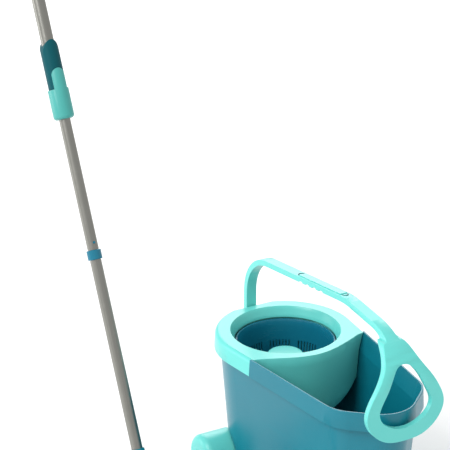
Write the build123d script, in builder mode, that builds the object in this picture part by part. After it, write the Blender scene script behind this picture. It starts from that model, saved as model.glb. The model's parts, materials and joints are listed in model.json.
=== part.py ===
from build123d import *

import os
from math import cos, degrees, pi, radians, sin, sqrt, tan

os.makedirs("parts", exist_ok=True)

# Spin mop set: a two-chamber bucket on two wheels, with a spinning wringer basket, and a pump-action
# mop that stands beside it. While it is built, the basket turns about the Z axis, the floor is z = 0,
# the nose of the bucket points along +X and the mop stands on the -Y side.

# ---------------------------------------------------------------- fits
running_fit = 0.06      # radial clearance of a turning pair
slide_fit = 0.25        # clearance of a sliding or dropped-in pair
seat_gap = 0.3          # face gap where a moving or soft piece rests on its seat

# ---------------------------------------------------------------- bucket plan and walls
rim_height = 265.0
end_radius = 119.5          # basket end of the plan
end_flat = 113.0            # distance to the flat at the basket end, behind the bail's leg
nose_corner_x = 262.0
nose_corner_y = 28.6
nose_corner_radius = 62.0
nose_tip_x = 350.0
nose_tip_radius = 60.0
band_height = 31.0          # turned-down rim band
band_flare = 1.5            # the band stands out this much at its lower edge
band_skin = 2.5
band_groove = 20.0
wall = 3.0
wall_step = 9.0             # body wall inset below the band
wall_draft = 4.7
rim_lip = 3.2               # width of the rim's top edge
body_bottom = 12.0
body_edge = 7.0

# ---------------------------------------------------------------- splash insert
insert_front = 72.0         # where the insert's flange ends along the sides
insert_bulge = 34.0         # how far the front wall swells towards the nose
insert_skin = 3.0
insert_shoulder = 8.0       # rounding of the flange's top edge
shoulder_steps = 6
front_wall_depth = 112.0
front_wall_corner = 100.0
front_wall_gap = 1.2        # front wall to the bucket's inner wall
mouth_radius = 94.0
throat_radius = 86.5
throat_depth = 18.0
cup_radius = 93.0
cup_foot_radius = 90.0
cup_depth = 108.0
cup_arms = 6
cup_arm_width = 12.0
cup_boss_radius = 14.0
cup_boss_height = 9.0

# ---------------------------------------------------------------- basket
basket_radius = 85.0
basket_foot_radius = 79.0
basket_depth = 72.0
basket_wall = 2.2
basket_throat_gap = 2.0
slot_groups = 10
slots_per_group = 7
slot_width = 2.2
slot_height = 27.0
slot_pitch = 4.0            # degrees
drain_hole_radius = 3.5
hub_radius = 31.0
hub_top_drop = 25.0         # hub top below the basket's rim
hub_skin = 2.5
spindle_radius = 4.0
spindle_head = 3.0
spindle_clip_height = 1.5
bush_radius = 8.0
tube_wall = 3.0

# ---------------------------------------------------------------- bail
bail_width = 19.0
bail_thickness = 9.8
bail_pivot_drop = 31.0      # pivot line below the rim
bail_beam_height = 94.0     # beam line above the rim, at the leg
bail_peak_x = 195.0
bail_peak_height = 134.0
bail_neck_x = 314.0
bail_neck_height = 122.0
bail_knee_height = 72.0
bail_gap = 2.2              # strap to the pivot boss
loop_x = 360.0              # middle of the strap where the loop hangs
strap_end = 11.0            # strap beyond the pivot line
flare_start = 215.0         # the strap widens towards the loop from here
stub_radius = 5.0
stub_length = 11.0
boss_radius = 9.5
finger_notches = 4
finger_pitch = 21.0
finger_first_x = 62.0
finger_radius = 9.0
finger_depth = 2.6
inlay_start_x = 52.0
inlay_length = 128.0
inlay_width = 13.0
inlay_depth = 1.6
inlay_rise = 1.4

# ---------------------------------------------------------------- wheels and feet
wheel_radius = 38.0
wheel_width = 62.0
wheel_edge = 13.0
wheel_inner_y = 84.0
wheel_x = -42.0
wheel_skin = 3.0
wheel_arch_gap = 5.0
wheel_side_gap = 4.0
hub_cap_radius = 13.0
axle_radius = 4.0
axle_clip_width = 16.0
axle_clip_height = 18.0
clip_drop = 10.0            # clip below the axle's middle
foot_x = 258.0
foot_y = 40.0
foot_radius = 10.0
foot_wall = 3.0
foot_socket = 4.0
foot_rise = 3.0             # rubber below the moulded socket

# ---------------------------------------------------------------- mop: place and joint
mop_x = 86.5
mop_y = -305.0
joint_height = 34.0
pole_lean = 25.9            # towards -X

# ---------------------------------------------------------------- mop: lengths along the pole from the joint
socket_top = 112.0
tube_seat = 48.0
ring_low = 430.0
ring_height = 16.0
button_at = 458.0
sleeve_low = 666.0
sleeve_shoulder = 716.0
tongue_top = 750.0
hood_top = 798.0
guide_low = 862.0
guide_height = 16.0
grip_low = 1105.0
grip_length = 132.0
end_cap_height = 34.0

# ---------------------------------------------------------------- mop: radii
lower_tube_radius = 9.5
upper_tube_radius = 11.0
tube_skin = 1.0
ring_radius = 12.2
spigot_height = 46.0
spigot_skin = 1.6
button_radius = 2.0
button_proud = 1.9
button_leaf = 0.8
sleeve_radius = 17.5
sleeve_edge = 6.0
hood_radius = 15.4
hood_arch = 26.0
tongue_half_width = 11.0
grip_radius = 15.5
cap_radius = 14.5
cap_half_width = 9.0
cap_plug = 18.0
hang_hole_radius = 5.0
rod_width = 7.0
rod_thickness = 1.6
rod_pitch = 120.0
rod_low = 830.0
rod_high = 1100.0
nut_height = 18.0
rod_plug_height = 20.0

# ---------------------------------------------------------------- mop: head
plate_radius = 80.0
plate_skin = 3.0
plate_lip = 6.0
plate_height = 14.0         # underside of the plate above the floor
pad_radius = 76.0
pad_thickness = 4.0
fringe_radius = 148.0
fringe_edge = 6.0
ear_gap = 15.6
ear_thickness = 5.0
ear_radius = 9.0
cross_size = 15.0
pin_spacing = 13.0          # from the lower pin to the upper one
pin_radius = 2.5
socket_radius = 13.5

# ---------------------------------------------------------------- places worked out from the sizes above
band_bottom = rim_height - band_height
body_inset_low = wall_step + (band_bottom - body_bottom) * tan(radians(wall_draft))
floor_top = body_bottom + wall
floor_inset = wall_step + wall + (band_bottom - floor_top) * tan(radians(wall_draft))
pivot_z = rim_height - bail_pivot_drop
shoulder_flare = band_flare * insert_shoulder / band_height
throat_z = rim_height - throat_depth
basket_top = throat_z - basket_throat_gap
basket_floor = basket_top - basket_depth
cup_floor = rim_height - cup_depth
hub_top = basket_top - hub_top_drop
boss_top = cup_floor + insert_skin + cup_boss_height
end_flat_x = -end_flat
leg_x = end_flat_x - bail_gap - bail_thickness / 2
wheel_outer_y = wheel_inner_y + wheel_width
arch_radius = wheel_radius + wheel_arch_gap
arch_inner_y = wheel_inner_y - wheel_side_gap


def save(piece, name):
    """Label a finished piece and keep it for export."""
    piece.part.label = name
    finished[name] = piece


finished = {}


def bucket_outline(inset):
    """Plan outline of the bucket, moved inwards by inset: a hull of four round corners, with a flat end."""
    with BuildLine() as corners:
        CenterArc((0, 0), end_radius - inset, 0, 360)
        for side in (1, -1):
            CenterArc((nose_corner_x, side * nose_corner_y), nose_corner_radius - inset, 0, 360)
        CenterArc((nose_tip_x - nose_tip_radius, 0), nose_tip_radius - inset, 0, 360)
    make_hull(corners.edges())
    with Locations((inset - end_flat - end_radius / 2, 0)):
        Rectangle(end_radius, 3 * end_radius, mode=Mode.SUBTRACT)


def stacked_block(levels):
    """Solid through the bucket's outline at several (height, inset) levels."""
    with BuildPart() as block:
        for height, inset in levels:
            with BuildSketch(Plane.XY.offset(height)):
                bucket_outline(inset)
        loft(ruled=True)
    return block.part


def tapered_block(low, low_inset, high, high_inset):
    """Solid between the bucket's outline at two heights."""
    return stacked_block([(low, low_inset), (high, high_inset)])


def shouldered_block(low, low_inset, high, inset, radius):
    """Tapered solid with a rounded top edge, in short steps."""
    levels = [(low, low_inset)]
    for step in range(shoulder_steps + 1):
        angle = step * pi / 2 / shoulder_steps
        levels.append((high - radius + radius * sin(angle), inset + radius * (1 - cos(angle))))
    return stacked_block(levels)


def turned(points, section=Plane.XZ, axis=Axis.Z):
    """Solid of revolution: points are (radius, height) pairs in the section plane."""
    with BuildPart() as solid:
        with BuildSketch(section):
            with BuildLine():
                Polyline(*points, close=True)
            make_face()
        revolve(axis=axis)
    return solid


# ================================================================ BUCKET
outer_body = tapered_block(body_bottom, body_inset_low, band_bottom, wall_step)
lower_cavity = tapered_block(floor_top, floor_inset, band_bottom, wall_step + wall)
front_cavity = tapered_block(band_bottom, wall_step + wall, rim_height, rim_lip)
back_rim_top = rim_height - insert_skin - seat_gap
back_rim_inset = insert_skin + 3.4
back_wall = tapered_block(band_bottom, wall_step, back_rim_top, back_rim_inset)
back_cavity = tapered_block(band_bottom, wall_step + wall, back_rim_top, back_rim_inset + wall)
groove_high = band_bottom + band_groove
groove_outer = tapered_block(
    band_bottom, band_skin - band_flare, groove_high, band_skin - band_flare + 0.9)
flare_rate = (wall_step + wall - rim_lip) / band_height
groove_inner = tapered_block(
    band_bottom, wall_step, groove_high, wall_step - flare_rate * band_groove)
band_start = Plane.YZ.offset(insert_front + seat_gap)

with BuildPart() as rim_front:
    add(tapered_block(band_bottom, -band_flare, rim_height, 0))
    fillet(rim_front.faces().sort_by(Axis.Z)[-1].edges(), radius=1.4)
    add(groove_outer, mode=Mode.SUBTRACT)
    add(groove_inner)
    add(front_cavity, mode=Mode.SUBTRACT)
    split(bisect_by=band_start, keep=Keep.TOP)

with BuildPart() as rim_back:
    add(back_wall)
    add(back_cavity, mode=Mode.SUBTRACT)
    split(bisect_by=band_start, keep=Keep.BOTTOM)

# walls of the wheel arches, the axle tunnel and the bail's pivot bosses, before they are hollowed
with BuildPart() as inner_walls:
    for side in (1, -1):
        with Locations((wheel_x, side * (arch_inner_y + 60), wheel_radius)):
            Cylinder(arch_radius + wall, 120 + 2 * wall, rotation=(90, 0, 0))
    with Locations((wheel_x, 0, (wheel_radius + axle_clip_height) / 2)):
        Box(axle_clip_width + 2 * wall + 1, 2 * arch_inner_y, wheel_radius + axle_clip_height + 2 * wall)
    add(outer_body, mode=Mode.INTERSECT)

with BuildPart() as bucket_shell:
    add(outer_body)
    fillet(bucket_shell.faces().sort_by(Axis.Z)[0].edges(), radius=body_edge)
    add(lower_cavity, mode=Mode.SUBTRACT)
    add(inner_walls.part)
    add(rim_front.part)
    add(rim_back.part)
    # outside of the wheel arches and of the axle tunnel
    for side in (1, -1):
        with Locations((wheel_x, side * (arch_inner_y + 60), wheel_radius)):
            Cylinder(arch_radius, 120, rotation=(90, 0, 0), mode=Mode.SUBTRACT)
    with Locations((wheel_x, 0, (wheel_radius + axle_clip_height / 2) / 2)):
        Box(axle_clip_width + 0.5, 2 * arch_inner_y + 20, wheel_radius + axle_clip_height / 2,
            mode=Mode.SUBTRACT)
    # pivot bosses of the bail, with a blind bore for its stubs
    nose_boss_end = loop_x - bail_thickness / 2 - bail_gap
    nose_boss_start = nose_tip_x - wall_step - wall / 2
    with Locations(((nose_boss_end + nose_boss_start) / 2, 0, pivot_z)):
        Cylinder(boss_radius, nose_boss_end - nose_boss_start, rotation=(0, 90, 0))
    end_boss_start = end_flat_x
    end_boss_end = -(cup_radius + insert_skin + 2)
    with Locations(((end_boss_start + end_boss_end) / 2, 0, pivot_z)):
        Cylinder(boss_radius, end_boss_end - end_boss_start, rotation=(0, 90, 0))
    bore_depth = stub_length + 1
    for boss_face, direction in ((nose_boss_end, -1), (end_boss_start, 1)):
        with Locations((boss_face + direction * bore_depth / 2, 0, pivot_z)):
            Cylinder(stub_radius + slide_fit, bore_depth, rotation=(0, 90, 0), mode=Mode.SUBTRACT)
    # moulded sockets of the rubber feet
    for side in (1, -1):
        with Locations((foot_x, side * foot_y, (body_bottom + foot_rise + 1) / 2)):
            Cylinder(foot_radius + foot_wall, body_bottom - foot_rise + 1)
        with Locations((foot_x, side * foot_y, foot_rise + foot_socket / 2)):
            Cylinder(foot_radius + slide_fit, foot_socket, mode=Mode.SUBTRACT)
save(bucket_shell, "bucket_shell")

with BuildPart() as rubber_feet:
    for side in (1, -1):
        with Locations((foot_x, side * foot_y, (foot_rise + foot_socket) / 2)):
            Cylinder(foot_radius, foot_rise + foot_socket)
    chamfer(rubber_feet.faces().sort_by(Axis.Z)[:2].edges(), length=1.2)
save(rubber_feet, "rubber_feet")

# ================================================================ SPLASH INSERT
room_low = rim_height - front_wall_depth - 5
room_low_inset = wall_step + wall + front_wall_gap + (band_bottom - room_low) * tan(radians(wall_draft))
room_mid_inset = wall_step + wall + front_wall_gap
with BuildPart() as front_room_build:
    add(tapered_block(room_low, room_low_inset, band_bottom, room_mid_inset))
    add(tapered_block(band_bottom, room_mid_inset, rim_height, rim_lip + front_wall_gap))
front_room = front_room_build.part


def front_region(shift):
    """Everything on the basket side of the front wall's swelling curve, moved by shift along X."""
    side = end_radius + 20
    half = end_radius - 7.5
    start_x = insert_front + shift
    with BuildLine() as edge:
        swell = Spline(
            (start_x, -half),
            (start_x + 0.24 * insert_bulge, -0.75 * half),
            (start_x + 0.6 * insert_bulge, -0.5 * half),
            (start_x + insert_bulge, 0),
            (start_x + 0.6 * insert_bulge, 0.5 * half),
            (start_x + 0.24 * insert_bulge, 0.75 * half),
            (start_x, half),
            tangents=((0.1, 1), (-0.1, 1)))
        Polyline(swell @ 1, (start_x, side), (-side, side), (-side, -side), (start_x, -side), swell @ 0)
    make_face(edge.edges())


with BuildPart() as front_wall:
    with BuildSketch(Plane.XY.offset(rim_height - front_wall_depth)):
        front_region(insert_skin + seat_gap)
    extrude(amount=front_wall_depth)
    with BuildSketch(Plane.XY.offset(rim_height - front_wall_depth)):
        front_region(seat_gap)
    extrude(amount=front_wall_depth - insert_skin, mode=Mode.SUBTRACT)
    with BuildSketch(Plane.YZ) as drop_shape:
        with Locations((0, rim_height)):
            Rectangle(2 * end_radius, 2 * front_wall_depth)
        fillet(drop_shape.vertices().group_by(Axis.Y)[0], radius=front_wall_corner)
    extrude(amount=nose_tip_x, mode=Mode.INTERSECT)
    # stays inside the bucket's walls
    add(front_room, mode=Mode.INTERSECT)

flange_room = shouldered_block(
    band_bottom - 1, insert_skin - band_flare, rim_height - insert_skin, insert_skin - shoulder_flare,
    insert_shoulder - insert_skin)
with BuildPart() as splash_insert:
    add(shouldered_block(band_bottom + 1, -band_flare, rim_height, -shoulder_flare, insert_shoulder))
    add(flange_room, mode=Mode.SUBTRACT)
    split(bisect_by=Plane.YZ.offset(insert_front), keep=Keep.BOTTOM)
    add(front_wall.part)
    # cup around the basket
    cup_top = rim_height - insert_skin / 2
    add(turned([
        (cup_foot_radius, cup_floor), (cup_foot_radius + insert_skin, cup_floor),
        (cup_radius + insert_skin, cup_top), (cup_radius, cup_top)]).part)
    # mouth: a hole with a sloping throat
    with BuildSketch(Plane.XY.offset(rim_height)):
        Circle(mouth_radius)
    extrude(amount=-insert_skin - 1, mode=Mode.SUBTRACT)
    with BuildSketch(Plane.XZ):
        with BuildLine():
            Polyline((mouth_radius, rim_height), (throat_radius, throat_z),
                     (throat_radius + insert_skin, throat_z), (cup_radius + 1, rim_height - insert_skin),
                     (cup_radius + insert_skin, rim_height - insert_skin), (cup_radius + insert_skin, rim_height),
                     close=True)
        make_face()
    revolve(axis=Axis.Z)
    # bearing frame at the cup's foot: arms and a boss that holds the spindle
    with BuildSketch(Plane.XY.offset(cup_floor)):
        Circle(cup_boss_radius)
        for arm in range(cup_arms):
            with Locations(Rotation(0, 0, arm * 360 / cup_arms)):
                with Locations((cup_foot_radius / 2 + 1, 0)):
                    Rectangle(cup_foot_radius + 2, cup_arm_width)
    extrude(amount=insert_skin)
    with Locations((0, 0, (cup_floor + boss_top) / 2)):
        Cylinder(cup_boss_radius, boss_top - cup_floor)
        Cylinder(spindle_radius, 60, mode=Mode.SUBTRACT)
    # notch over the bucket's pivot boss
    with Locations((end_flat_x + 4, 0, pivot_z - 10)):
        Box(16, 2 * boss_radius + 1, 20 + 2 * 0.5, mode=Mode.SUBTRACT)
    with Locations((end_flat_x + 4, 0, pivot_z)):
        Cylinder(boss_radius + 0.5, 16, rotation=(0, 90, 0), mode=Mode.SUBTRACT)
save(splash_insert, "splash_insert")

# ================================================================ SPIN BASKET
spindle_top = hub_top - 2 * hub_skin
tube_top = spindle_top - 8
floor_plate = basket_floor + basket_wall
thrust_top = boss_top + 1.5

with BuildPart() as basket_spindle:
    with Locations((0, 0, (cup_floor + spindle_top) / 2)):
        Cylinder(spindle_radius, spindle_top - cup_floor)
    with Locations((0, 0, cup_floor - spindle_head / 2)):
        Cylinder(spindle_radius + 3, spindle_head)
save(basket_spindle, "basket_spindle")

with BuildPart() as thrust_washer:
    with Locations((0, 0, (boss_top + thrust_top) / 2)):
        Cylinder(bush_radius + 2, thrust_top - boss_top)
        Cylinder(spindle_radius + running_fit, thrust_top, mode=Mode.SUBTRACT)
save(thrust_washer, "thrust_washer")

with BuildPart() as spin_basket:
    with BuildSketch(Plane.XZ):
        with BuildLine():
            Polyline(
                (bush_radius, basket_floor), (basket_foot_radius, basket_floor),
                (basket_radius - 0.5, basket_top - 3), (basket_radius, basket_top - 3),
                (basket_radius, basket_top), (basket_radius - basket_wall - 0.6, basket_top),
                (basket_foot_radius - basket_wall, floor_plate), (bush_radius + tube_wall, floor_plate),
                (bush_radius + tube_wall, tube_top), (bush_radius, tube_top), close=True)
        make_face()
    revolve(axis=Axis.Z)
    # wringing slots low in the wall, in groups
    slot_middle = floor_plate + 4 + slot_height / 2
    for group in range(slot_groups):
        group_angle = group * 360 / slot_groups
        with Locations((0, 0, slot_middle)):
            with PolarLocations(basket_foot_radius, slots_per_group, group_angle,
                                slot_pitch * (slots_per_group - 1), endpoint=True):
                Box(12, slot_width, slot_height, mode=Mode.SUBTRACT)
    # drain holes in the floor
    for hole_circle, holes in ((46, 12), (64, 18)):
        with Locations((0, 0, basket_floor)):
            with PolarLocations(hole_circle, holes):
                Cylinder(drain_hole_radius, 4 * basket_wall, mode=Mode.SUBTRACT)
save(spin_basket, "spin_basket")

bush_low = thrust_top + running_fit
with BuildPart() as hub_bush:
    with Locations((0, 0, (basket_floor + tube_top) / 2)):
        Cylinder(bush_radius - running_fit, tube_top - basket_floor)
    with Locations((0, 0, (bush_low + basket_floor) / 2)):
        Cylinder(bush_radius + 2, basket_floor - bush_low)
    with Locations((0, 0, (bush_low + tube_top) / 2)):
        Cylinder(spindle_radius + running_fit, tube_top - bush_low + 2, mode=Mode.SUBTRACT)
save(hub_bush, "hub_bush")

clip_low = tube_top + running_fit
with BuildPart() as spindle_clip:
    with Locations((0, 0, clip_low + spindle_clip_height / 2)):
        Cylinder(bush_radius + 1, spindle_clip_height)
        Cylinder(spindle_radius, spindle_clip_height, mode=Mode.SUBTRACT)
save(spindle_clip, "spindle_clip")

with BuildPart() as basket_hub:
    with Locations((0, 0, (floor_plate + hub_top) / 2)):
        Cylinder(hub_radius, hub_top - floor_plate)
    fillet(basket_hub.faces().sort_by(Axis.Z)[-1].edges(), radius=4)
    with Locations((0, 0, (floor_plate + hub_top - hub_skin) / 2)):
        Cylinder(hub_radius - hub_skin, hub_top - hub_skin - floor_plate, mode=Mode.SUBTRACT)
    # ribs that grip the basket's tube
    with BuildSketch(Plane.XY.offset(floor_plate)):
        for rib_angle in (0, 90):
            Rectangle(2 * hub_radius - hub_skin, 2, rotation=rib_angle)
        Circle(bush_radius + tube_wall + running_fit, mode=Mode.SUBTRACT)
    extrude(amount=hub_top - hub_skin - floor_plate)
save(basket_hub, "basket_hub")

# ================================================================ BAIL
beam_z = rim_height + bail_beam_height
bail_points = (
    (leg_x, pivot_z - strap_end),
    (leg_x, beam_z),
    (bail_peak_x, rim_height + bail_peak_height),
    (bail_neck_x, rim_height + bail_neck_height),
    (loop_x, rim_height + bail_knee_height),
    (loop_x, pivot_z - strap_end))
bail_bends = (78, 150, 100, 60)
beam_slope = (bail_peak_height - bail_beam_height) / (bail_peak_x - leg_x)


def beam_height(x):
    """Middle of the bail's beam above the floor, between the leg and the peak."""
    return beam_z + (x - leg_x) * beam_slope


with BuildPart() as bail_strap:
    with BuildSketch(Plane.XZ):
        with BuildLine():
            FilletPolyline(*bail_points, radius=bail_bends)
        trace(line_width=bail_thickness)
    extrude(amount=bail_width / 2, both=True)
    split(bisect_by=Plane.YZ.offset(flare_start), keep=Keep.BOTTOM)
    with BuildSketch(Plane.YZ):
        with Locations((0, pivot_z)):
            Circle(strap_end)
        with Locations((0, pivot_z + 2 * end_radius)):
            Rectangle(bail_width, 4 * end_radius)
    extrude(amount=2 * end_radius, both=True, mode=Mode.INTERSECT)

with BuildPart() as bail_loop:
    with BuildSketch(Plane.XZ):
        with BuildLine():
            FilletPolyline(*bail_points, radius=bail_bends)
        trace(line_width=bail_thickness)
    extrude(amount=end_radius, both=True)
    split(bisect_by=Plane.YZ.offset(flare_start), keep=Keep.TOP)
    # teardrop seen along the bucket: half widths at heights about the rim
    with BuildSketch(Plane.YZ.offset(flare_start - 1)):
        with BuildLine():
            outer_edge = Spline(
                (0, pivot_z - strap_end), (37, rim_height - 36), (60, rim_height - 18),
                (71.5, rim_height + 10), (62, rim_height + 40), (44, rim_height + 69),
                (29.5, rim_height + 92), (17.5, rim_height + 113),
                (bail_width / 2, rim_height + bail_peak_height), tangents=((1, 0), (0, 1)))
            Polyline(
                outer_edge @ 1, (bail_width / 2, rim_height + 160), (0, rim_height + 160), outer_edge @ 0)
        make_face()
        mirror(about=Plane.YZ)
    extrude(amount=2 * end_radius, mode=Mode.INTERSECT)
    with BuildSketch(Plane.YZ.offset(flare_start - 1)):
        with BuildLine():
            crown = CenterArc((0, rim_height + 64), 22, 37, 53)
            window_edge = Spline(
                (0, pivot_z + strap_end), (29, rim_height - 12), (44, rim_height + 1),
                (48.5, rim_height + 14), (41, rim_height + 36), (29.5, rim_height + 58), crown @ 0,
                tangents=((1, 0), crown % 0))
            Line(crown @ 1, window_edge @ 0)
        make_face()
        mirror(about=Plane.YZ)
    extrude(amount=2 * end_radius, mode=Mode.SUBTRACT)

inlay_middle_x = inlay_start_x + inlay_length / 2
inlay_place = Location(
    (inlay_middle_x, 0, beam_height(inlay_middle_x) + bail_thickness / 2 - inlay_depth),
    (0, -degrees(beam_slope), 0))
with BuildPart() as bail_handle:
    add(bail_strap.part)
    add(bail_loop.part)
    # stubs that snap into the bucket's bosses
    for face_x, direction in ((leg_x + bail_thickness / 2, 1), (loop_x - bail_thickness / 2, -1)):
        with Locations((face_x + direction * (stub_length - 1) / 2, 0, pivot_z)):
            Cylinder(stub_radius, stub_length + 1, rotation=(0, 90, 0))
    # finger notches under the beam
    for notch in range(finger_notches):
        notch_x = finger_first_x + notch * finger_pitch
        notch_z = beam_height(notch_x) - bail_thickness / 2 - finger_radius + finger_depth
        with Locations((notch_x, 0, notch_z)):
            Cylinder(finger_radius, 2 * bail_width, rotation=(90, 0, 0), mode=Mode.SUBTRACT)
    # recess for the grip inlay
    with Locations(inlay_place):
        Box(inlay_length + 2 * slide_fit, inlay_width + 2 * slide_fit, 2 * inlay_depth,
            align=(Align.CENTER, Align.CENTER, Align.MIN), mode=Mode.SUBTRACT)
save(bail_handle, "bail_handle")

with BuildPart() as grip_inlay:
    with Locations(inlay_place):
        Box(inlay_length, inlay_width, inlay_depth + inlay_rise, align=(Align.CENTER, Align.CENTER, Align.MIN))
    fillet(grip_inlay.faces().sort_by(Axis.Z)[-1].edges(), radius=1)
save(grip_inlay, "grip_inlay")

# ================================================================ WHEELS
axle_end_y = wheel_outer_y - wheel_edge - 8
wheel_face_y = wheel_outer_y - 5    # bottom of the cap's recess
hub_sleeve = axle_radius + 3.5
wheel_sleeve = hub_sleeve + 4
with BuildPart() as wheel_axle:
    with Locations((wheel_x, 0, wheel_radius)):
        Cylinder(axle_radius, 2 * axle_end_y, rotation=(90, 0, 0))
save(wheel_axle, "wheel_axle")

clip_y = arch_inner_y - 20
clip_top = wheel_radius + axle_clip_height / 2
with BuildPart() as axle_clips:
    for side in (1, -1):
        with Locations((wheel_x, side * clip_y, (clip_top + wheel_radius - clip_drop) / 2)):
            Box(axle_clip_width, 14, clip_top - wheel_radius + clip_drop)
        with Locations((wheel_x, side * clip_y, wheel_radius)):
            Cylinder(axle_radius + running_fit, 20, rotation=(90, 0, 0), mode=Mode.SUBTRACT)
save(axle_clips, "axle_clips")

wheel_line = Axis((wheel_x, 0, wheel_radius), (0, 1, 0))
for side, side_name in ((-1, "near"), (1, "far")):
    with BuildPart() as wheel:
        with BuildSketch(Plane((wheel_x, 0, wheel_radius), x_dir=(1, 0, 0), z_dir=(0, 0, 1))):
            with BuildLine():
                tread = Polyline(
                    (axle_radius + running_fit, side * wheel_inner_y),
                    (wheel_sleeve, side * wheel_inner_y),
                    (wheel_sleeve, side * (wheel_face_y - 12)),
                    (wheel_radius - wheel_skin - 10, side * (wheel_face_y - 12)),
                    (wheel_radius - wheel_skin, side * (wheel_face_y - 22)),
                    (wheel_radius - wheel_skin, side * wheel_inner_y),
                    (wheel_radius, side * wheel_inner_y),
                    (wheel_radius, side * (wheel_outer_y - wheel_edge)))
                rounding = ThreePointArc(
                    tread @ 1,
                    (wheel_radius - wheel_edge * (1 - cos(pi / 4)),
                     side * (wheel_outer_y - wheel_edge * (1 - cos(pi / 4)))),
                    (wheel_radius - wheel_edge, side * wheel_outer_y))
                Polyline(
                    rounding @ 1,
                    (hub_cap_radius + slide_fit, side * wheel_outer_y),
                    (hub_cap_radius + slide_fit, side * wheel_face_y),
                    (hub_sleeve + 1, side * wheel_face_y),
                    (hub_sleeve + 1, side * (axle_end_y - 2)),
                    (axle_radius + running_fit, side * (axle_end_y - 2)),
                    tread @ 0)
            make_face()
        revolve(axis=wheel_line)
    save(wheel, f"wheel_{side_name}")
    with BuildPart() as hub_cap:
        with Locations((wheel_x, side * (wheel_outer_y + wheel_face_y) / 2, wheel_radius)):
            Cylinder(hub_cap_radius, wheel_outer_y - wheel_face_y - 0.6, rotation=(90, 0, 0))
        fillet(hub_cap.faces().sort_by(Axis.Y)[0 if side < 0 else -1].edges(), radius=1)
    save(hub_cap, f"hub_cap_{side_name}")

with BuildPart() as push_nuts:
    for side in (1, -1):
        with Locations((wheel_x, side * (axle_end_y - 1), wheel_radius)):
            Cylinder(hub_sleeve, 1.4, rotation=(90, 0, 0))
            Cylinder(axle_radius, 3, rotation=(90, 0, 0), mode=Mode.SUBTRACT)
save(push_nuts, "push_nuts")

# ================================================================ MOP HEAD
lean = radians(pole_lean)
joint = (mop_x, mop_y, joint_height)
pole_dir = (-sin(lean), 0, cos(lean))
pole_side = (cos(lean), 0, sin(lean))
pole_base = Plane(origin=joint, x_dir=pole_side, z_dir=pole_dir)
pole_section = Plane(origin=joint, x_dir=pole_side, z_dir=(0, -1, 0))
pole_axis = Axis(joint, pole_dir)
plate_section = Plane(origin=(mop_x, mop_y, 0), x_dir=(1, 0, 0), z_dir=(0, -1, 0))
plate_axis = Axis((mop_x, mop_y, 0), (0, 0, 1))


def on_pole(points):
    """Solid of revolution about the pole: (radius, distance from the joint) pairs."""
    return turned(points, pole_section, pole_axis)


def pole_tube(radius, skin, low, high):
    """Plain tube along the pole."""
    return on_pole([(radius - skin, low), (radius, low), (radius, high), (radius - skin, high)])


def front_plane(distance):
    """Plane across the pole's front: local y runs along the pole from the given distance."""
    return Plane(origin=pole_base.offset(distance).origin, x_dir=(0, 1, 0), z_dir=pole_side)


def on_plate(points):
    """Solid of revolution about the mop head's upright axis."""
    return turned(points, plate_section, plate_axis)


plate_top = plate_height + plate_skin
pad_low = plate_height - seat_gap - pad_thickness
fringe_crown = plate_top + 1
save(on_plate([
    (0, 0), (fringe_radius, 0), (fringe_radius, fringe_edge), (plate_radius + 12, fringe_crown),
    (plate_radius + seat_gap, fringe_crown), (plate_radius + seat_gap, pad_low - seat_gap),
    (0, pad_low - seat_gap)]), "mop_fringe")
save(on_plate([
    (0, pad_low), (pad_radius, pad_low), (pad_radius, plate_height - seat_gap),
    (0, plate_height - seat_gap)]), "mop_pad")

with BuildPart() as disc_plate:
    with BuildSketch(plate_section):
        with BuildLine():
            Polyline(
                (0, plate_height), (plate_radius, plate_height), (plate_radius, plate_height + plate_lip),
                (plate_radius - plate_skin, plate_height + plate_lip),
                (plate_radius - plate_skin, plate_top), (26, plate_top), (22, plate_top + 4),
                (0, plate_top + 4), close=True)
        make_face()
    revolve(axis=plate_axis)
    # ribs and the two ears of the joint
    with Locations((mop_x, mop_y, plate_top + 1)):
        with PolarLocations(50, 8):
            Box(50, 2, 4)
    for side in (1, -1):
        ear_y = mop_y + side * (ear_gap + ear_thickness) / 2
        with Locations((mop_x, ear_y, joint_height)):
            Cylinder(ear_radius, ear_thickness, rotation=(90, 0, 0))
        with Locations((mop_x, ear_y, (plate_top + joint_height) / 2)):
            Box(2 * ear_radius, ear_thickness, joint_height - plate_top)
    with Locations(joint):
        Cylinder(pin_radius, 2 * (ear_gap + ear_thickness), rotation=(90, 0, 0), mode=Mode.SUBTRACT)
save(disc_plate, "disc_plate")

# block with two crossed bores, one above the other
cross_bore = pin_radius + running_fit
yoke_joint = pole_base.offset(pin_spacing)
with BuildPart() as cardan_block:
    with BuildSketch(pole_base.offset(-cross_size / 2)):
        RectangleRounded(cross_size, cross_size, 3)
    extrude(amount=cross_size + pin_spacing)
    with BuildSketch(Plane(origin=joint, z_dir=(0, 1, 0))):
        Circle(cross_bore)
    extrude(amount=cross_size, both=True, mode=Mode.SUBTRACT)
    with BuildSketch(Plane(origin=yoke_joint.origin, z_dir=pole_side)):
        Circle(pin_radius)
    extrude(amount=cross_size, both=True, mode=Mode.SUBTRACT)
save(cardan_block, "cardan_block")

with BuildPart() as plate_pin:
    with BuildSketch(Plane(origin=joint, z_dir=(0, 1, 0))):
        Circle(pin_radius)
    extrude(amount=ear_gap / 2 + ear_thickness, both=True)
save(plate_pin, "plate_pin")

yoke_reach = cross_size / 2 + seat_gap + ear_thickness
with BuildPart() as yoke_pin:
    with BuildSketch(Plane(origin=yoke_joint.origin, z_dir=pole_side)):
        Circle(pin_radius)
    extrude(amount=yoke_reach, both=True)
save(yoke_pin, "yoke_pin")

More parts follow.
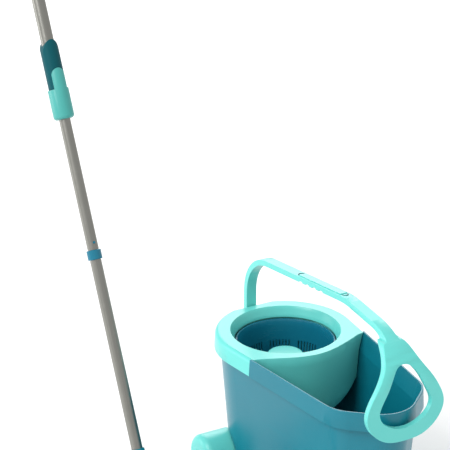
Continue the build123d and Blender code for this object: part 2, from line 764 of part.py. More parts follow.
# ================================================================ POLE
socket_low = pin_spacing + cross_size / sqrt(2) + seat_gap    # clears the block's corners at any tilt
with BuildPart() as head_socket:
    add(on_pole([
        (0, socket_low), (socket_radius, socket_low), (socket_radius, tube_seat + 10),
        (lower_tube_radius + 2.5, socket_top), (lower_tube_radius + slide_fit, socket_top),
        (lower_tube_radius + slide_fit, tube_seat), (0, tube_seat)]).part)
    # ears of the yoke
    with BuildSketch(pole_base.offset(pin_spacing - ear_radius)):
        for side in (1, -1):
            with Locations((side * (yoke_reach - ear_thickness / 2), 0)):
                Rectangle(ear_thickness, cross_size)
    extrude(amount=socket_low - pin_spacing + ear_radius + 1)
    with BuildSketch(Plane(origin=yoke_joint.origin, z_dir=pole_side)):
        Circle(cross_bore)
    extrude(amount=2 * yoke_reach, both=True, mode=Mode.SUBTRACT)
save(head_socket, "head_socket")

save(pole_tube(lower_tube_radius, tube_skin, tube_seat + seat_gap, ring_low - seat_gap), "lower_tube")

inner_radius = lower_tube_radius - tube_skin - slide_fit
button_plane = front_plane(button_at)
with BuildPart() as tube_collar:
    add(on_pole([
        (inner_radius - spigot_skin, ring_low - spigot_height), (inner_radius, ring_low - spigot_height),
        (inner_radius, ring_low), (ring_radius - 0.8, ring_low), (ring_radius, ring_low + 0.8),
        (ring_radius, ring_low + ring_height - 0.8), (ring_radius - 0.8, ring_low + ring_height),
        (inner_radius, ring_low + ring_height), (inner_radius, ring_low + ring_height + spigot_height),
        (inner_radius - spigot_skin, ring_low + ring_height + spigot_height)]).part)
    with BuildSketch(button_plane):
        Circle(button_radius + slide_fit)
    extrude(amount=ring_radius, mode=Mode.SUBTRACT)
save(tube_collar, "tube_collar")

with BuildPart() as middle_tube:
    add(pole_tube(lower_tube_radius, tube_skin, ring_low + ring_height + seat_gap, guide_low).part)
    with BuildSketch(button_plane):
        Circle(button_radius + slide_fit)
    extrude(amount=ring_radius, mode=Mode.SUBTRACT)
save(middle_tube, "middle_tube")

# snap button with the leaf that presses it out
leaf_reach = inner_radius - spigot_skin - slide_fit - 0.1
with BuildPart() as snap_button:
    with BuildSketch(button_plane.offset(leaf_reach - button_leaf)):
        Circle(button_radius)
    extrude(amount=lower_tube_radius + button_proud - leaf_reach + button_leaf)
    fillet(snap_button.faces().sort_by(Axis.X)[-1].edges(), radius=0.8)
    with BuildSketch(button_plane.offset(leaf_reach - button_leaf - 0.6)):
        Circle(button_radius + 0.9)
    extrude(amount=button_leaf)
save(snap_button, "snap_button")


def twisted_strip(low, high, width, thickness):
    """Flat strip twisted at the rod's pitch about the pole, in step with the rod."""
    start_angle = 360 * (low - rod_low) / rod_pitch
    plane = pole_base.offset(low)
    with BuildSketch(plane) as strip:
        Rectangle(width, thickness, rotation=start_angle)
    return Solid.extrude_linear_with_rotation(
        strip.sketch.face(), plane.origin, plane.z_dir * (high - low), 360 * (high - low) / rod_pitch)


with BuildPart() as spiral_rod:
    add(twisted_strip(rod_low, rod_high, rod_width, rod_thickness))
save(spiral_rod, "spiral_rod")

nut_low = guide_low - nut_height
with BuildPart() as drive_nut:
    add(on_pole([
        (0, nut_low), (inner_radius + slide_fit - running_fit, nut_low),
        (inner_radius + slide_fit - running_fit, guide_low), (0, guide_low)]).part)
    add(twisted_strip(nut_low - 1, guide_low + 1, rod_width + 0.8, rod_thickness + 0.8), mode=Mode.SUBTRACT)
save(drive_nut, "drive_nut")

# guide ring that turns on the middle tube's end and slides in the upper tube
guide_radius = upper_tube_radius - tube_skin - slide_fit
save(on_pole([
    (rod_width / 2 + 1.5, guide_low + running_fit), (guide_radius, guide_low + running_fit),
    (guide_radius, guide_low + guide_height), (rod_width / 2 + 1.5, guide_low + guide_height)]), "tube_guide")

with BuildPart() as rod_plug:
    add(on_pole([
        (0, rod_high - rod_plug_height), (guide_radius + slide_fit - running_fit, rod_high - rod_plug_height),
        (guide_radius + slide_fit - running_fit, rod_high + 4), (0, rod_high + 4)]).part)
    add(twisted_strip(rod_high - rod_plug_height, rod_high, rod_width, rod_thickness), mode=Mode.SUBTRACT)
save(rod_plug, "rod_plug")

# locking sleeve: turns on the hood's collar; its tongue reaches up the hood's front
tube_low = sleeve_low + 22
grip_high = grip_low + grip_length
bore_on_tube = upper_tube_radius + running_fit
collar_radius = bore_on_tube + 2.2
sleeve_inner = collar_radius + running_fit
collet_radius = lower_tube_radius + 3
collet_low = sleeve_low + 4
collet_high = tube_low - 1.5
tongue_foot = sleeve_shoulder - 4
tongue_middle = tongue_top - tongue_half_width

with BuildPart() as tongue:
    with BuildSketch(front_plane(0)):
        with Locations((0, (tongue_foot + tongue_middle) / 2)):
            Rectangle(2 * tongue_half_width, tongue_middle - tongue_foot)
        with Locations((0, tongue_middle)):
            Circle(tongue_half_width)
    extrude(amount=2 * sleeve_radius)
    add(pole_tube(sleeve_radius, sleeve_radius - hood_radius - slide_fit, tongue_foot, tongue_top + 5).part,
        mode=Mode.INTERSECT)

with BuildPart() as lock_sleeve:
    add(on_pole([
        (lower_tube_radius + slide_fit, sleeve_low), (sleeve_radius, sleeve_low),
        (sleeve_radius, sleeve_shoulder), (sleeve_inner, sleeve_shoulder), (sleeve_inner, collet_high),
        (collet_radius + running_fit, collet_high), (collet_radius + running_fit, collet_low),
        (lower_tube_radius + slide_fit, collet_low)]).part)
    fillet(lock_sleeve.faces().sort_by(pole_axis)[0].edges().sort_by(SortBy.RADIUS)[-1], radius=sleeve_edge)
    add(tongue.part)
save(lock_sleeve, "lock_sleeve")

save(pole_tube(collet_radius, collet_radius - lower_tube_radius - slide_fit, collet_low + running_fit,
               collet_high - running_fit), "lock_collet")

with BuildPart() as lock_hood:
    add(on_pole([
        (bore_on_tube, tube_low), (collar_radius, tube_low), (collar_radius, sleeve_shoulder + seat_gap),
        (hood_radius, sleeve_shoulder + seat_gap), (hood_radius, hood_top), (bore_on_tube, hood_top)]).part)
    # arched top, highest at the front and the back
    with BuildSketch(front_plane(0)):
        with Locations((0, (tube_low + hood_top - hood_arch) / 2)):
            Rectangle(2 * sleeve_radius, hood_top - hood_arch - tube_low)
        with Locations((0, hood_top - hood_arch)):
            Ellipse(hood_radius + 0.1, hood_arch)
    extrude(amount=2 * sleeve_radius, both=True, mode=Mode.INTERSECT)
save(lock_hood, "lock_hood")

save(pole_tube(upper_tube_radius, tube_skin, tube_low, grip_high), "upper_tube")

with BuildPart() as top_grip:
    add(pole_tube(grip_radius, grip_radius - bore_on_tube, grip_low, grip_high).part)
    fillet(top_grip.faces().sort_by(pole_axis)[0].edges().sort_by(SortBy.RADIUS)[-1], radius=3)
save(top_grip, "top_grip")

hang_at = grip_high + end_cap_height - cap_half_width - hang_hole_radius
with BuildPart() as grip_end_cap:
    add(on_pole([
        (0, grip_high - cap_plug), (upper_tube_radius - tube_skin - running_fit, grip_high - cap_plug),
        (upper_tube_radius - tube_skin - running_fit, grip_high + running_fit),
        (cap_radius, grip_high + running_fit), (cap_radius, grip_high + end_cap_height),
        (0, grip_high + end_cap_height)]).part)
    fillet(grip_end_cap.faces().sort_by(pole_axis)[-1].edges(), radius=cap_radius - 3)
    with BuildSketch(pole_base.offset(grip_high + running_fit)):
        for side in (1, -1):
            with Locations((0, side * (cap_half_width + cap_radius / 2))):
                Rectangle(3 * cap_radius, cap_radius)
    extrude(amount=end_cap_height, mode=Mode.SUBTRACT)
    with BuildSketch(Plane(origin=pole_base.offset(hang_at).origin, z_dir=(0, 1, 0))):
        Circle(hang_hole_radius)
    extrude(amount=cap_radius, both=True, mode=Mode.SUBTRACT)
save(grip_end_cap, "grip_end_cap")

# ================================================================ EXPORT
# the finished set's origin is on the floor, in the middle of its footprint
boxes = [piece.part.bounding_box() for piece in finished.values()]
middle_x = (min(box.min.X for box in boxes) + max(box.max.X for box in boxes)) / 2
middle_y = (min(box.min.Y for box in boxes) + max(box.max.Y for box in boxes)) / 2
to_origin = Location((-middle_x, -middle_y, 0))
for name, piece in finished.items():
    placed = piece.part.moved(to_origin)
    placed.label = name
    export_step(placed, f"parts/{name}.step")
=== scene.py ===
import json
import math

import bmesh
import bpy
from mathutils import Matrix, Vector


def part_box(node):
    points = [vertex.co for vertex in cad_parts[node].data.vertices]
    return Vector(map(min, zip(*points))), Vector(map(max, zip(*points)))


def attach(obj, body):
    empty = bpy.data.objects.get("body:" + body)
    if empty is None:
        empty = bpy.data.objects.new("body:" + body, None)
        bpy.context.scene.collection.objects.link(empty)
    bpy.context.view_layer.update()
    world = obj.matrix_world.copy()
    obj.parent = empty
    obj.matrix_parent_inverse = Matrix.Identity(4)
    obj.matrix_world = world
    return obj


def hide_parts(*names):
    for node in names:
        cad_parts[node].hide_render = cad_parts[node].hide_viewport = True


# Looks of a spin mop set: a wheeled bucket with its wringer basket, and a round-headed mop beside it.
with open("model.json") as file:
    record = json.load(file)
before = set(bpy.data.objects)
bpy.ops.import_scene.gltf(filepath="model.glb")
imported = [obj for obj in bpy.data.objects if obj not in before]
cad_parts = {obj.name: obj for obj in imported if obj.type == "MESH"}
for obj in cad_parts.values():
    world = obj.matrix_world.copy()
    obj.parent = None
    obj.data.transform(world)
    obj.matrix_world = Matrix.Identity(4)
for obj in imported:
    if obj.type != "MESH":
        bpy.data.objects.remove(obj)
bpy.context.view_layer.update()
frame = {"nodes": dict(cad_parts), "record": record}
record = frame["record"]
joints = {joint["name"]: joint for joint in record["behaviour"]["joints"]}
scene = bpy.context.scene

# Places read from the frame, in metres.
plate_low, plate_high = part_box("disc_plate")
plate_middle = Vector(((plate_low.x + plate_high.x) / 2, (plate_low.y + plate_high.y) / 2, 0))
plate_radius = (plate_high.x - plate_low.x) / 2
fringe_low, fringe_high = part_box("mop_fringe")
fringe_radius = (fringe_high.x - fringe_low.x) / 2
pad_low, pad_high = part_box("mop_pad")
pole_foot = Vector(joints["head_tilt"]["pos_m"])
pole_dir = Vector(joints["pole_spin"]["axis"])
pole_lean = math.atan2(-pole_dir.x, pole_dir.z)
basket_middle = Vector(joints["basket_spin"]["pos_m"])


# ---------------------------------------------------------------- node trees
class Value:
    """A socket of a node tree, with arithmetic."""

    def __init__(self, tree, socket):
        self.tree = tree
        self.socket = socket

    def math(self, operation, *terms):
        return self.tree.node("ShaderNodeMath", {"operation": operation}, dict(enumerate(terms)))

    def __add__(self, other):
        return self.math("ADD", self, other)

    __radd__ = __add__

    def __sub__(self, other):
        return self.math("SUBTRACT", self, other)

    def __rsub__(self, other):
        return self.math("SUBTRACT", other, self)

    def __mul__(self, other):
        return self.math("MULTIPLY", self, other)

    __rmul__ = __mul__

    def __truediv__(self, other):
        return self.math("DIVIDE", self, other)

    def sine(self):
        return self.math("SINE", self)

    def step(self, low, high):
        """0 below low, 1 above high and a smooth rise between them."""
        return self.tree.node(
            "ShaderNodeMapRange", {"interpolation_type": "SMOOTHSTEP"},
            {"Value": self, "From Min": low, "From Max": high})

    def parts(self):
        return [self.tree.node("ShaderNodeSeparateXYZ", {}, {0: self}, output) for output in range(3)]


class Tree:
    """A node tree that is built by calls."""

    def __init__(self, tree):
        self.tree = tree

    def node(self, kind, settings=None, values=None, output=0):
        """Adds a node, makes its settings, then fills its sockets. Returns one of its outputs."""
        made = self.tree.nodes.new(kind)
        for name, setting in (settings or {}).items():
            if name == "stops":
                for at, (position, colour) in enumerate(setting):
                    stop = made.color_ramp.elements[at] if at < 2 else made.color_ramp.elements.new(position)
                    stop.position, stop.color = position, colour
            else:
                setattr(made, name, setting)
        for key, value in (values or {}).items():
            if isinstance(value, Value):
                self.tree.links.new(value.socket, made.inputs[key])
            else:
                made.inputs[key].default_value = value
        return Value(self, made.outputs[output]) if len(made.outputs) else None

    def mix(self, share, first, second):
        """Colour that goes from first to second."""
        return self.node("ShaderNodeMix", {"data_type": "RGBA"}, {0: share, 6: first, 7: second}, 2)

    def noise(self, place, scale, detail=2.0, roughness=0.5):
        return self.node("ShaderNodeTexNoise", {}, {
            "Vector": place, "Scale": scale, "Detail": detail, "Roughness": roughness})


def rgb(red, green, blue):
    """Colour from 0 to 255 display numbers."""
    channels = [value / 255 for value in (red, green, blue)]
    linear = [value / 12.92 if value <= 0.04045 else ((value + 0.055) / 1.055) ** 2.4 for value in channels]
    return (*linear, 1.0)


def finish(name, paint, constants):
    """Material: paint(tree, place) gives the varying sockets, constants the others."""
    material = bpy.data.materials.new(name)
    material.use_nodes = True
    material.node_tree.nodes.clear()
    tree = Tree(material.node_tree)
    place = tree.node("ShaderNodeTexCoord", {}, {}, 3)
    surface = tree.node("ShaderNodeBsdfPrincipled", {}, {**constants, **paint(tree, place)})
    tree.node("ShaderNodeOutputMaterial", {}, {0: surface})
    return material


def bump(tree, height, strength, distance):
    return tree.node("ShaderNodeBump", {}, {"Height": height, "Strength": strength, "Distance": distance})


# ---------------------------------------------------------------- finishes
def moulded_plastic(name, body, pale, roughness, ior=1.42):
    """Moulded plastic: faint flow clouds, fine spark grain, rubbed patches and dust near the floor."""
    def paint(tree, place):
        clouds = tree.noise(place, 7.0, 4.0)
        grain = tree.noise(place, 1500.0, 1.0)
        flow = tree.node("ShaderNodeMapping", {}, {"Vector": place, "Scale": (14.0, 14.0, 55.0)})
        rubbed = tree.noise(flow, 1.0, 6.0, 0.65).step(0.57, 0.72)
        height = place.parts()[2]
        dusty = (1 - height.step(0.0, 0.07)) * tree.noise(place, 60.0, 5.0).step(0.42, 0.7)
        colour = tree.mix(clouds.step(0.3, 0.75) * 0.35 + rubbed * 0.12, body, pale)
        colour = tree.mix(dusty * 0.16, colour, rgb(150, 152, 148))
        return {
            "Base Color": colour,
            "Roughness": roughness + rubbed * 0.07 + dusty * 0.2 + (grain - 0.5) * 0.05,
            "Normal": bump(tree, grain, 0.12, 0.00025),
        }
    return finish(name, paint, {"IOR": ior, "Coat Weight": 0.03, "Coat Roughness": 0.25})


def drawn_metal(name, colour, pale, roughness, turn, streaks, strength=0.1):
    """Metal with streaks along one direction: turn is the direction's rotation, streaks its scale."""
    def paint(tree, place):
        turned = tree.node("ShaderNodeMapping", {"vector_type": "TEXTURE"}, {
            "Vector": place, "Rotation": turn})
        along = tree.node("ShaderNodeMapping", {}, {"Vector": turned, "Scale": streaks})
        lines = tree.noise(along, 1.0, 3.0, 0.6)
        patches = tree.noise(place, 18.0, 4.0)
        smudges = tree.noise(place, 70.0, 5.0, 0.7).step(0.52, 0.74)
        return {
            "Base Color": tree.mix(lines * 0.6 + patches * 0.3, colour, pale),
            "Roughness": roughness + (lines - 0.5) * 0.16 + smudges * 0.09,
            "Normal": bump(tree, lines, strength, 0.0001),
        }
    return finish(name, paint, {"Metallic": 1.0})


def yarn(name):
    """Two-ply cotton and microfibre yarn. Each strand has its own shade."""
    def paint(tree, place):
        shade = tree.node("ShaderNodeAttribute", {"attribute_name": "strand_shade"}, {}, 2)
        fuzz = tree.noise(place, 900.0, 4.0, 0.7)
        grime = tree.noise(place, 25.0, 4.0).step(0.5, 0.8)
        white = tree.mix(shade, rgb(182, 187, 186), rgb(222, 225, 223))
        teal = tree.mix(shade.step(0.8, 0.82), white, rgb(92, 196, 188))
        worn = tree.mix(grime * 0.22, teal, rgb(168, 168, 160))
        return {
            "Base Color": tree.mix(fuzz * 0.3, worn, rgb(232, 234, 232)),
            "Roughness": 0.86 + fuzz * 0.12,
            "Normal": bump(tree, fuzz, 0.55, 0.0006),
        }
    return finish(name, paint, {"Sheen Weight": 0.35, "Sheen Roughness": 0.5})


def woven_backing(name):
    """Plain-weave backing of the mop head."""
    thread_turn = 3900.0    # radians of weave for each metre

    def paint(tree, place):
        across, over, height = place.parts()
        warp = (across * thread_turn).sine()
        weft = (over * thread_turn).sine()
        cloth = warp * weft * 0.5 + 0.5
        clouds = tree.noise(place, 30.0, 4.0)
        return {
            "Base Color": tree.mix(cloth * 0.55 + clouds * 0.3, rgb(158, 166, 166), rgb(214, 218, 216)),
            "Roughness": 0.8 + cloth * 0.15,
            "Normal": bump(tree, cloth + clouds * 0.4, 0.5, 0.0005),
        }
    return finish(name, paint, {"Sheen Weight": 0.25, "Sheen Roughness": 0.6})


def soft_rubber(name, body, pale):
    """Matt rubber with a bloom and small pits."""
    def paint(tree, place):
        bloom = tree.noise(place, 45.0, 5.0)
        pits = tree.noise(place, 1100.0, 2.0)
        return {
            "Base Color": tree.mix(bloom.step(0.35, 0.75) * 0.6, body, pale),
            "Roughness": 0.68 + bloom * 0.18,
            "Normal": bump(tree, pits, 0.3, 0.0003),
        }
    return finish(name, paint, {"IOR": 1.5})


petrol = moulded_plastic("petrol_plastic", rgb(8, 115, 133), rgb(21, 131, 148), 0.3)
basket_petrol = moulded_plastic("basket_petrol", rgb(14, 106, 130), rgb(26, 118, 142), 0.24)
# darker, less glossy copy of the petrol plastic for the lock hood: painted shade
hood_petrol_painted_shade = moulded_plastic("hood_petrol_painted_shade", rgb(8, 76, 84), rgb(16, 90, 98), 0.45, 1.2)
turquoise = moulded_plastic("turquoise_plastic", rgb(96, 203, 196), rgb(122, 216, 208), 0.3)
# darker copy of the turquoise plastic for the lock sleeve: painted shade
sleeve_turquoise_painted_shade = moulded_plastic("sleeve_turquoise_painted_shade", rgb(66, 158, 152), rgb(84, 172, 166), 0.36)
chalk_white = moulded_plastic("white_plastic", rgb(190, 197, 197), rgb(208, 214, 213), 0.42)
# dark plastic for the crescents at the ends of the grip inlay: painted shade of the slots there
slot_painted_shade = moulded_plastic("recess_painted_shade", rgb(18, 92, 100), rgb(28, 112, 118), 0.5)
pole_turned = (0.0, -pole_lean, 0.0)
tube_metal = drawn_metal("aluminium_tube", rgb(122, 122, 117), rgb(160, 159, 153), 0.34, pole_turned,
                         (1500.0, 1500.0, 9.0))
bright_steel = drawn_metal("drawn_steel", rgb(176, 178, 180), rgb(212, 213, 214), 0.24, (0.0, 0.0, 0.0),
                           (60.0, 1800.0, 1800.0))
foot_rubber = soft_rubber("foot_rubber", rgb(34, 38, 40), rgb(66, 70, 72))
grip_rubber = soft_rubber("grip_rubber", rgb(22, 96, 116), rgb(38, 114, 132))
strand_yarn = yarn("strand_yarn")
backing = woven_backing("pad_backing")

node_finish = {
    "bucket_shell": petrol, "spin_basket": basket_petrol, "rubber_feet": foot_rubber,
    "splash_insert": turquoise, "basket_spindle": bright_steel, "thrust_washer": chalk_white,
    "spindle_clip": bright_steel, "wheel_axle": bright_steel, "axle_clips": chalk_white,
    "push_nuts": bright_steel, "hub_bush": chalk_white, "basket_hub": turquoise, "bail_handle": turquoise,
    "grip_inlay": turquoise, "wheel_near": turquoise, "hub_cap_near": turquoise, "wheel_far": turquoise,
    "hub_cap_far": turquoise, "disc_plate": chalk_white, "plate_pin": bright_steel, "cardan_block": petrol,
    "yoke_pin": bright_steel, "head_socket": petrol, "lower_tube": tube_metal, "tube_collar": basket_petrol,
    "middle_tube": tube_metal, "drive_nut": chalk_white, "snap_button": basket_petrol,
    # the lock hood and lock sleeve get darker copies of their plastics: painted shade
    "tube_guide": chalk_white, "upper_tube": tube_metal, "lock_hood": hood_petrol_painted_shade, "rod_plug": chalk_white,
    "spiral_rod": bright_steel, "top_grip": grip_rubber, "grip_end_cap": turquoise,
    "lock_sleeve": sleeve_turquoise_painted_shade, "lock_collet": chalk_white,
}
for node_name, material in node_finish.items():
    mesh = frame["nodes"][node_name].data
    mesh.materials.clear()
    mesh.materials.append(material)


def soften_edges(node_name, width):
    """Moulded edges are never sharp: weld the loose triangles and round the corners."""
    node = frame["nodes"][node_name]
    weld = node.modifiers.new("weld", "WELD")
    weld.merge_threshold = 1e-6
    rounding = node.modifiers.new("rounding", "BEVEL")
    rounding.width = width
    rounding.segments = 2
    rounding.limit_method = "ANGLE"
    rounding.angle_limit = math.radians(42)
    rounding.harden_normals = True


for node_name, width in (("bail_handle", 0.0012), ("splash_insert", 0.0008), ("bucket_shell", 0.0006),
                         ("lock_sleeve", 0.0006), ("basket_hub", 0.0008), ("spin_basket", 0.0004)):
    soften_edges(node_name, width)


# ---------------------------------------------------------------- mesh and geometry-node helpers
def mesh_piece(name, verts, faces, material, body, smooth=True):
    """Mesh object at the origin that rides on a body."""
    mesh = bpy.data.meshes.new(name)
    mesh.from_pydata([tuple(v) for v in verts], [], faces)
    mesh.validate()
    shell = bmesh.new()
    shell.from_mesh(mesh)
    bmesh.ops.remove_doubles(shell, verts=shell.verts, dist=1e-6)
    bmesh.ops.recalc_face_normals(shell, faces=shell.faces)
    shell.to_mesh(mesh)
    shell.free()
    mesh.materials.append(material)
    mesh.polygons.foreach_set("use_smooth", [smooth] * len(mesh.polygons))
    piece = bpy.data.objects.new(name, mesh)
    scene.collection.objects.link(piece)
    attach(piece, body)
    return piece


def grown_piece(name, build, sizes, body):
    """Plain mesh object made by a geometry-nodes tree: build(tree, inputs) returns the last geometry."""
    group = bpy.data.node_groups.new(name, "GeometryNodeTree")
    group.interface.new_socket(name="Geometry", in_out="OUTPUT", socket_type="NodeSocketGeometry")
    for size_name, value in sizes.items():
        kind = "NodeSocketInt" if isinstance(value, int) else "NodeSocketFloat"
        group.interface.new_socket(name=size_name, in_out="INPUT", socket_type=kind)
    tree = Tree(group)
    entry = group.nodes.new("NodeGroupInput")
    inputs = {size_name: Value(tree, entry.outputs[size_name]) for size_name in sizes}
    tree.node("NodeGroupOutput", {}, {0: build(tree, inputs)})
    holder = bpy.data.objects.new(name + "_holder", bpy.data.meshes.new(name + "_holder"))
    scene.collection.objects.link(holder)
    modifier = holder.modifiers.new(name, "NODES")
    modifier.node_group = group
    for item in group.interface.items_tree:
        if item.in_out == "INPUT":
            modifier[item.identifier] = sizes[item.name]
    evaluated = holder.evaluated_get(bpy.context.evaluated_depsgraph_get())
    mesh = bpy.data.meshes.new_from_object(evaluated)
    mesh.name = name
    bpy.data.objects.remove(holder)
    piece = bpy.data.objects.new(name, mesh)
    scene.collection.objects.link(piece)
    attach(piece, body)
    return piece


def lathe(profile, middle, sides=96):
    """Closed ring of revolution about an upright axis: profile is a closed loop of (radius, height)."""
    verts, faces = [], []
    count = len(profile)
    for side in range(sides):
        angle = 2 * math.pi * side / sides
        for radius, height in profile:
            verts.append(middle + Vector((radius * math.cos(angle), radius * math.sin(angle), height)))
    for side in range(sides):
        start, after = side * count, (side + 1) % sides * count
        for at in range(count):
            nxt = (at + 1) % count
            faces.append((start + at, start + nxt, after + nxt, after + at))
    return verts, faces


# ---------------------------------------------------------------- mop head: strands and backing pad
yarn_radius = 0.0026
twist_length = 0.024    # one turn of the two plies


def strands(tree, size):
    """Yarns that lie outwards from the pad: one twisted line, turned about the plate, bent and swept."""
    line = tree.node("GeometryNodeCurvePrimitiveLine", {}, {
        "Start": tree.node("ShaderNodeCombineXYZ", {}, {0: size["Root radius"], 2: size["Root height"]}),
        "End": tree.node("ShaderNodeCombineXYZ", {}, {0: size["Tip radius"], 2: size["Tip height"]})})
    line = tree.node("GeometryNodeResampleCurve", {}, {"Curve": line, "Count": size["Samples"]})
    seats = tree.node("GeometryNodePoints", {}, {"Count": size["Strands"]})
    index = tree.node("GeometryNodeInputIndex")
    stray = tree.node("FunctionNodeRandomValue", {"data_type": "FLOAT"},
                      {2: -0.5, 3: 0.5, "ID": index, "Seed": size["Seed"]}, 1)
    turn = tree.node("ShaderNodeCombineXYZ", {}, {2: (index + stray) * (2 * math.pi) / size["Strands"]})
    reach = tree.node("FunctionNodeRandomValue", {"data_type": "FLOAT"},
                      {2: 0.86, 3: 1.0, "ID": index, "Seed": size["Seed"] + 7}, 1)
    stretch = tree.node("ShaderNodeCombineXYZ", {}, {0: reach, 1: 1.0, 2: 1.0})
    shade = tree.node("FunctionNodeRandomValue", {"data_type": "FLOAT"},
                      {2: 0.0, 3: 1.0, "ID": index, "Seed": size["Seed"] + 13}, 1)
    seats = tree.node("GeometryNodeStoreNamedAttribute", {"data_type": "FLOAT", "domain": "POINT"},
                      {"Geometry": seats, "Name": "strand_shade", "Value": shade})
    spread = tree.node("GeometryNodeInstanceOnPoints", {}, {
        "Points": seats, "Instance": line, "Rotation": turn, "Scale": stretch})
    spread = tree.node("GeometryNodeRealizeInstances", {}, {"Geometry": spread})
    share = tree.node("GeometryNodeSplineParameter", {}, {}, 0)
    place = tree.node("GeometryNodeInputPosition")
    drift = tree.node("ShaderNodeTexNoise", {}, {"Vector": place, "Scale": 24.0, "Detail": 2.0}, 1)
    side_x, side_y, rise = drift.parts()
    sweep = share * share * size["Waviness"]
    offset = tree.node("ShaderNodeCombineXYZ", {}, {
        0: (side_x - 0.5) * sweep, 1: (side_y - 0.5) * sweep, 2: (rise - 0.5) * share * (1 - share) * 0.016})
    spread = tree.node("GeometryNodeSetPosition", {}, {"Geometry": spread, "Offset": offset})
    length = tree.node("GeometryNodeSplineParameter", {}, {}, 1)
    spread = tree.node("GeometryNodeSetCurveTilt", {}, {
        "Curve": spread, "Tilt": length * (2 * math.pi / twist_length)})
    ply = tree.node("GeometryNodeCurvePrimitiveCircle", {}, {"Resolution": 8, "Radius": size["Yarn radius"]})
    across, over, deep = tree.node("GeometryNodeInputPosition").parts()
    lobes = tree.node("ShaderNodeCombineXYZ", {}, {0: across * 0.25, 1: over * -0.28})
    ply = tree.node("GeometryNodeSetPosition", {}, {"Geometry": ply, "Offset": lobes})
    body = tree.node("GeometryNodeCurveToMesh", {}, {
        "Curve": spread, "Profile Curve": ply, "Fill Caps": True})
    middle = tree.node("GeometryNodeTransform", {}, {
        "Geometry": body, "Translation": (plate_middle.x, plate_middle.y, 0.0)})
    smooth = tree.node("GeometryNodeSetShadeSmooth", {}, {"Geometry": middle})
    return tree.node("GeometryNodeSetMaterial", {}, {"Geometry": smooth, "Material": strand_yarn})


# name, strands, root radius and height, tip radius and height, samples, seed, waviness
beside_plate = plate_radius + 0.004
longest = fringe_radius - 0.004
layers = (
    ("strands_low", 190, 0.030, 0.0050, longest * 1.02, 0.0040, 34, 3, 0.020),
    ("strands_middle", 170, 0.050, 0.0072, longest * 0.99, 0.0064, 34, 21, 0.026),
    ("strands_top", 190, beside_plate, 0.0135, longest - 0.004, 0.0080, 26, 45, 0.030),
)
for layer, count, root, root_height, tip, tip_height, samples, seed, waviness in layers:
    piece = grown_piece(layer, strands, {
        "Root radius": root, "Root height": root_height, "Tip radius": tip, "Tip height": tip_height,
        "Samples": samples, "Strands": count, "Seed": seed, "Waviness": waviness,
        "Yarn radius": yarn_radius}, "mop_head")
    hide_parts("mop_fringe")

# backing pad: quilted underside, rounded edge
pad_radius = (pad_high.x - pad_low.x) / 2
pad_middle = (pad_low.z + pad_high.z) / 2
pad_half = (pad_high.z - pad_low.z) / 2
pad_edge = 0.0012
quilt_depth = 0.0006
rings_across = 12
pad_profile = []
for step in range(rings_across + 1):
    share = step / rings_across
    pad_profile.append((pad_radius * share, pad_low.z + quilt_depth * math.sin(share * 22) ** 2))
for step in range(1, 6):
    angle = math.pi * step / 6
    pad_profile.append((pad_radius - pad_edge + pad_edge * math.sin(angle),
                        pad_middle - pad_half * math.cos(angle)))
for step in range(rings_across + 1):
    pad_profile.append(((pad_radius - 0.001) * (1 - step / rings_across), pad_high.z))
pad_verts, pad_faces = lathe(pad_profile, plate_middle)
pad = mesh_piece("pad_cloth", pad_verts, pad_faces, backing, "mop_head")
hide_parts("mop_pad")


# ---------------------------------------------------------------- top grip: raised rings
grip_low, grip_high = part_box("top_grip")
grip_radius = (grip_high.y - grip_low.y) / 2
grip_centre = ((grip_low + grip_high) / 2 - pole_foot).dot(pole_dir)
ring_count = 14
ring_pitch = 0.008
grip_start = grip_centre - (ring_count - 1) * ring_pitch / 2


def rings(tree, size):
    """Rings in a row along the pole, on the hand grip."""
    ring = tree.node("GeometryNodeCurvePrimitiveCircle", {}, {
        "Resolution": 40, "Radius": size["Ring radius"]})
    bead = tree.node("GeometryNodeCurvePrimitiveCircle", {}, {
        "Resolution": 8, "Radius": size["Bead radius"]})
    band = tree.node("GeometryNodeCurveToMesh", {}, {"Curve": ring, "Profile Curve": bead})
    row = tree.node("GeometryNodeMeshLine", {}, {
        "Count": size["Rings"],
        "Offset": tree.node("ShaderNodeCombineXYZ", {}, {2: size["Pitch"]})})
    row = tree.node("GeometryNodeInstanceOnPoints", {}, {"Points": row, "Instance": band})
    row = tree.node("GeometryNodeRealizeInstances", {}, {"Geometry": row})
    row = tree.node("GeometryNodeTransform", {}, {
        "Geometry": row, "Translation": tuple(pole_foot + pole_dir * grip_start),
        "Rotation": (0.0, -pole_lean, 0.0)})
    row = tree.node("GeometryNodeSetShadeSmooth", {}, {"Geometry": row})
    return tree.node("GeometryNodeSetMaterial", {}, {"Geometry": row, "Material": grip_rubber})


grown_piece("grip_rings", rings, {
    "Ring radius": grip_radius - 0.0002, "Bead radius": 0.0011, "Rings": ring_count, "Pitch": ring_pitch},
    "upper_pole")

# ---------------------------------------------------------------- bail: painted shade of the slots at the ends of the grip inlay
inlay_low, inlay_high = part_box("grip_inlay")
inlay_thickness = 0.003
beam_rise = math.atan2(inlay_high.z - inlay_low.z - inlay_thickness, inlay_high.x - inlay_low.x)
mark_inner, mark_outer = 0.0042, 0.0062
mark_height = 0.0009
mark_steps = 14


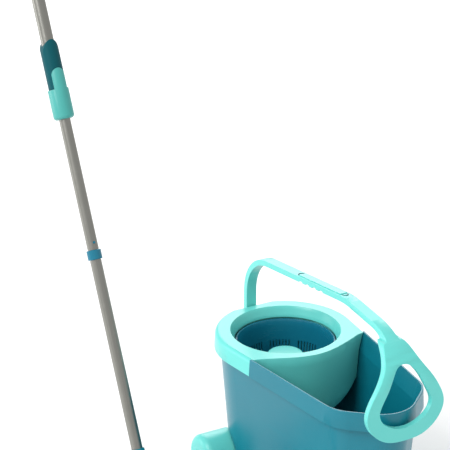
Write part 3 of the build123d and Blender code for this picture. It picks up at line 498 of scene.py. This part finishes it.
def slot_shade_crescent(name, at_x, at_z, facing):
    """Thin dark crescent on top of the bail's beam, at one end of the inlay: painted shade of the slot
    there.
    """
    verts, faces = [], []
    for lift in (0.0, mark_height):
        for step in range(mark_steps + 1):
            angle = math.pi * (step / mark_steps - 0.5)
            for radius in (mark_inner, mark_outer):
                along = facing * (radius * math.cos(angle) * 1.25 - 0.003)
                verts.append((
                    at_x + along * math.cos(beam_rise) - lift * math.sin(beam_rise),
                    basket_middle.y + radius * math.sin(angle),
                    at_z + along * math.sin(beam_rise) + lift * math.cos(beam_rise)))
    upper = 2 * (mark_steps + 1)
    for step in range(mark_steps):
        low, high = 2 * step, upper + 2 * step
        faces += [(low, low + 1, low + 3, low + 2), (high, high + 2, high + 3, high + 1),
                  (low, low + 2, high + 2, high), (low + 1, high + 1, high + 3, low + 3)]
    last = upper - 2
    faces += [(0, upper, upper + 1, 1), (last, last + 1, upper + last + 1, upper + last)]
    return mesh_piece(name, verts, faces, slot_painted_shade, "bail", smooth=False)


mark_gap = 0.005
gap_rise = mark_gap * math.tan(beam_rise)
# one painted-shade crescent at each end of the inlay
slot_shade_crescent("inlay_slot_shade_back", inlay_low.x - mark_gap, inlay_low.z + 0.0014 - gap_rise, -1)
slot_shade_crescent("inlay_slot_shade_front", inlay_high.x + mark_gap, inlay_high.z - 0.0019 + gap_rise, 1)

# ---------------------------------------------------------------- floor, light and camera
floor_half = 9
floor_corners = [(-floor_half, -floor_half, 0), (floor_half, -floor_half, 0),
                 (floor_half, floor_half, 0), (-floor_half, floor_half, 0)]
floor_mesh = bpy.data.meshes.new("floor")
floor_mesh.from_pydata(floor_corners, [], [(0, 1, 2, 3)])
floor_material = bpy.data.materials.new("floor_paint")
floor_material.use_nodes = True
paint_sockets = floor_material.node_tree.nodes["Principled BSDF"].inputs
paint_sockets["Base Color"].default_value = (0.92, 0.92, 0.92, 1)
paint_sockets["Roughness"].default_value = 0.9
floor_mesh.materials.append(floor_material)
floor = bpy.data.objects.new("floor", floor_mesh)
scene.collection.objects.link(floor)

world = bpy.data.worlds.new("studio")
world.use_nodes = True
world.node_tree.nodes["Background"].inputs["Color"].default_value = (1, 1, 1, 1)
world.node_tree.nodes["Background"].inputs["Strength"].default_value = 0.8
scene.world = world


def soft_light(name, place, aim, width, power):
    """Square studio light that faces a point."""
    lamp = bpy.data.lights.new(name, "AREA")
    lamp.size = width
    lamp.energy = power
    holder = bpy.data.objects.new(name, lamp)
    holder.location = place
    holder.rotation_euler = (Vector(aim) - Vector(place)).to_track_quat("-Z", "Y").to_euler()
    scene.collection.objects.link(holder)


set_middle = (0.1, 0.1, 0.3)
soft_light("key_light", (0.6, -4.0, 4.0), set_middle, 2.6, 200)
soft_light("side_light", (-2.6, -3.0, 0.9), (0.0, 0.1, 0.2), 1.6, 30)
soft_light("back_light", (-3.6, 2.4, 2.6), set_middle, 3.2, 100)

camera_data = bpy.data.cameras.new("camera")
camera_data.sensor_width = 36
camera_data.lens = 176
camera = bpy.data.objects.new("camera", camera_data)
forward = Vector((-0.80212, 0.45381, -0.38816)).normalized()
right = Vector((0.49242, 0.87036, 0)).normalized()
up = right.cross(forward)
camera.matrix_world = Matrix((
    (right.x, up.x, -forward.x, basket_middle.x + 2.8817),
    (right.y, up.y, -forward.y, basket_middle.y - 1.7484),
    (right.z, up.z, -forward.z, 1.8752),
    (0, 0, 0, 1)))
scene.collection.objects.link(camera)
scene.camera = camera
scene.view_settings.view_transform = "Standard"
